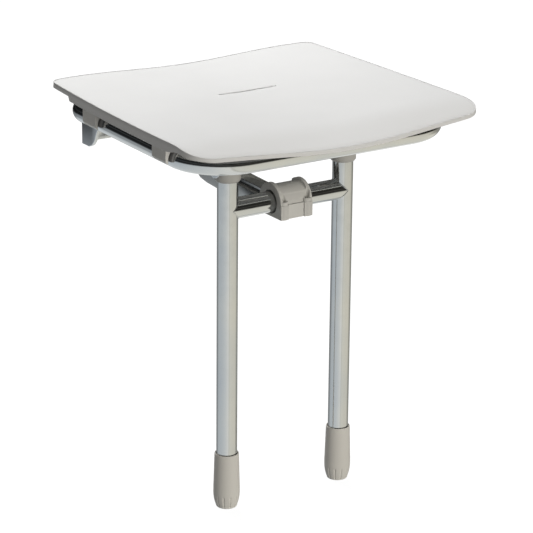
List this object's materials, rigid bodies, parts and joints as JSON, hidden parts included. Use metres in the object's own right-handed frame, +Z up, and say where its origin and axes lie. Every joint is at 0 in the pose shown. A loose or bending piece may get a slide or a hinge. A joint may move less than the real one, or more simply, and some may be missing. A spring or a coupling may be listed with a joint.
{
  "type": "folding shower seat",
  "caption": "Wall-mounted fold-up shower seat with a white moulded saddle seat, a tubular frame and linked support legs that fold away with it.",
  "frame": {"origin": "centre of the four wall-fixing holes, on the wall plane", "axes": "+X to the sitter's right-hand side seen from the front, +Y into the wall, +Z up; the seat is down and the feet stand on the floor 428 mm below the origin"},
  "size_m": [0.398, 0.385, 0.4934],
  "materials": {
    "tube_steel": "polished stainless tube",
    "bracket_steel": "satin stainless plate",
    "hardware_steel": "bright zinc plated",
    "seat_plastic": "fine moulded texture, white",
    "liner_nylon": "plain nylon, grey",
    "joint_plastic": "fine spark texture, warm light grey",
    "foot_plastic": "satin moulded, warm light grey",
    "foot_rubber": "matt"
  },
  "bodies": {
    "wall_bracket": {"wall_plate": "bracket_steel", "hinge_ear_left": "bracket_steel", "hinge_ear_right": "bracket_steel", "hinge_bush_left": "liner_nylon", "hinge_bush_right": "liner_nylon", "link_lug_left": "bracket_steel", "link_lug_right": "bracket_steel", "link_pivot_bolt": "hardware_steel", "link_pivot_nut": "hardware_steel"},
    "seat": {"seat_frame": "tube_steel", "cross_tube": "tube_steel", "leg_hanger_left": "bracket_steel", "leg_hanger_right": "bracket_steel", "leg_pivot_pin_left": "hardware_steel", "leg_pivot_pin_right": "hardware_steel", "seat_shell": "seat_plastic", "seat_clip_front_left": "seat_plastic", "seat_clip_front_right": "seat_plastic", "seat_clip_rear_left": "seat_plastic", "seat_clip_rear_right": "seat_plastic", "clip_liner_front_left": "liner_nylon", "clip_liner_front_right": "liner_nylon", "clip_liner_rear_left": "liner_nylon", "clip_liner_rear_right": "liner_nylon", "clip_screws": "hardware_steel"},
    "legs": {"leg_tube_left": "tube_steel", "leg_tube_right": "tube_steel", "crossbar": "tube_steel", "leg_cap_left": "joint_plastic", "leg_cap_right": "joint_plastic", "foot_nut_left": "liner_nylon", "foot_nut_right": "liner_nylon"},
    "link": {"link_arm": "bracket_steel", "link_clamp_top": "joint_plastic", "link_clamp_cap": "joint_plastic", "clamp_liner": "liner_nylon", "clamp_screws": "hardware_steel", "link_bush_left": "liner_nylon", "link_bush_right": "liner_nylon"},
    "foot_left": {"foot_sleeve_left": "foot_plastic", "foot_spindle_left": "hardware_steel", "foot_pad_left": "foot_rubber"},
    "foot_right": {"foot_sleeve_right": "foot_plastic", "foot_spindle_right": "hardware_steel", "foot_pad_right": "foot_rubber"}
  },
  "joints": [
    {"name": "seat_fold", "type": "hinge", "parent": "wall_bracket", "child": "seat", "pos_m": [0, -0.046, 0.0355], "axis": [-1, 0, 0], "range_deg": [0, 90]},
    {"name": "legs_swing", "type": "hinge", "parent": "seat", "child": "legs", "pos_m": [0, -0.248, 0], "axis": [-1, 0, 0], "range_deg": [-90, 0]},
    {"name": "link_swing", "type": "hinge", "parent": "wall_bracket", "child": "link", "pos_m": [0, -0.046, -0.0177], "axis": [-1, 0, 0], "range_deg": [0, 90]},
    {"name": "foot_left_adjust", "type": "slide", "parent": "legs", "child": "foot_left", "axis": [0, 0, -1], "range_m": [0, 0.02]},
    {"name": "foot_right_adjust", "type": "slide", "parent": "legs", "child": "foot_right", "axis": [0, 0, -1], "range_m": [0, 0.02]}
  ],
  "couplings": [
    {"joint": "legs_swing", "follows": "seat_fold", "ratio": -1},
    {"joint": "link_swing", "follows": "seat_fold", "ratio": 1}
  ]
}
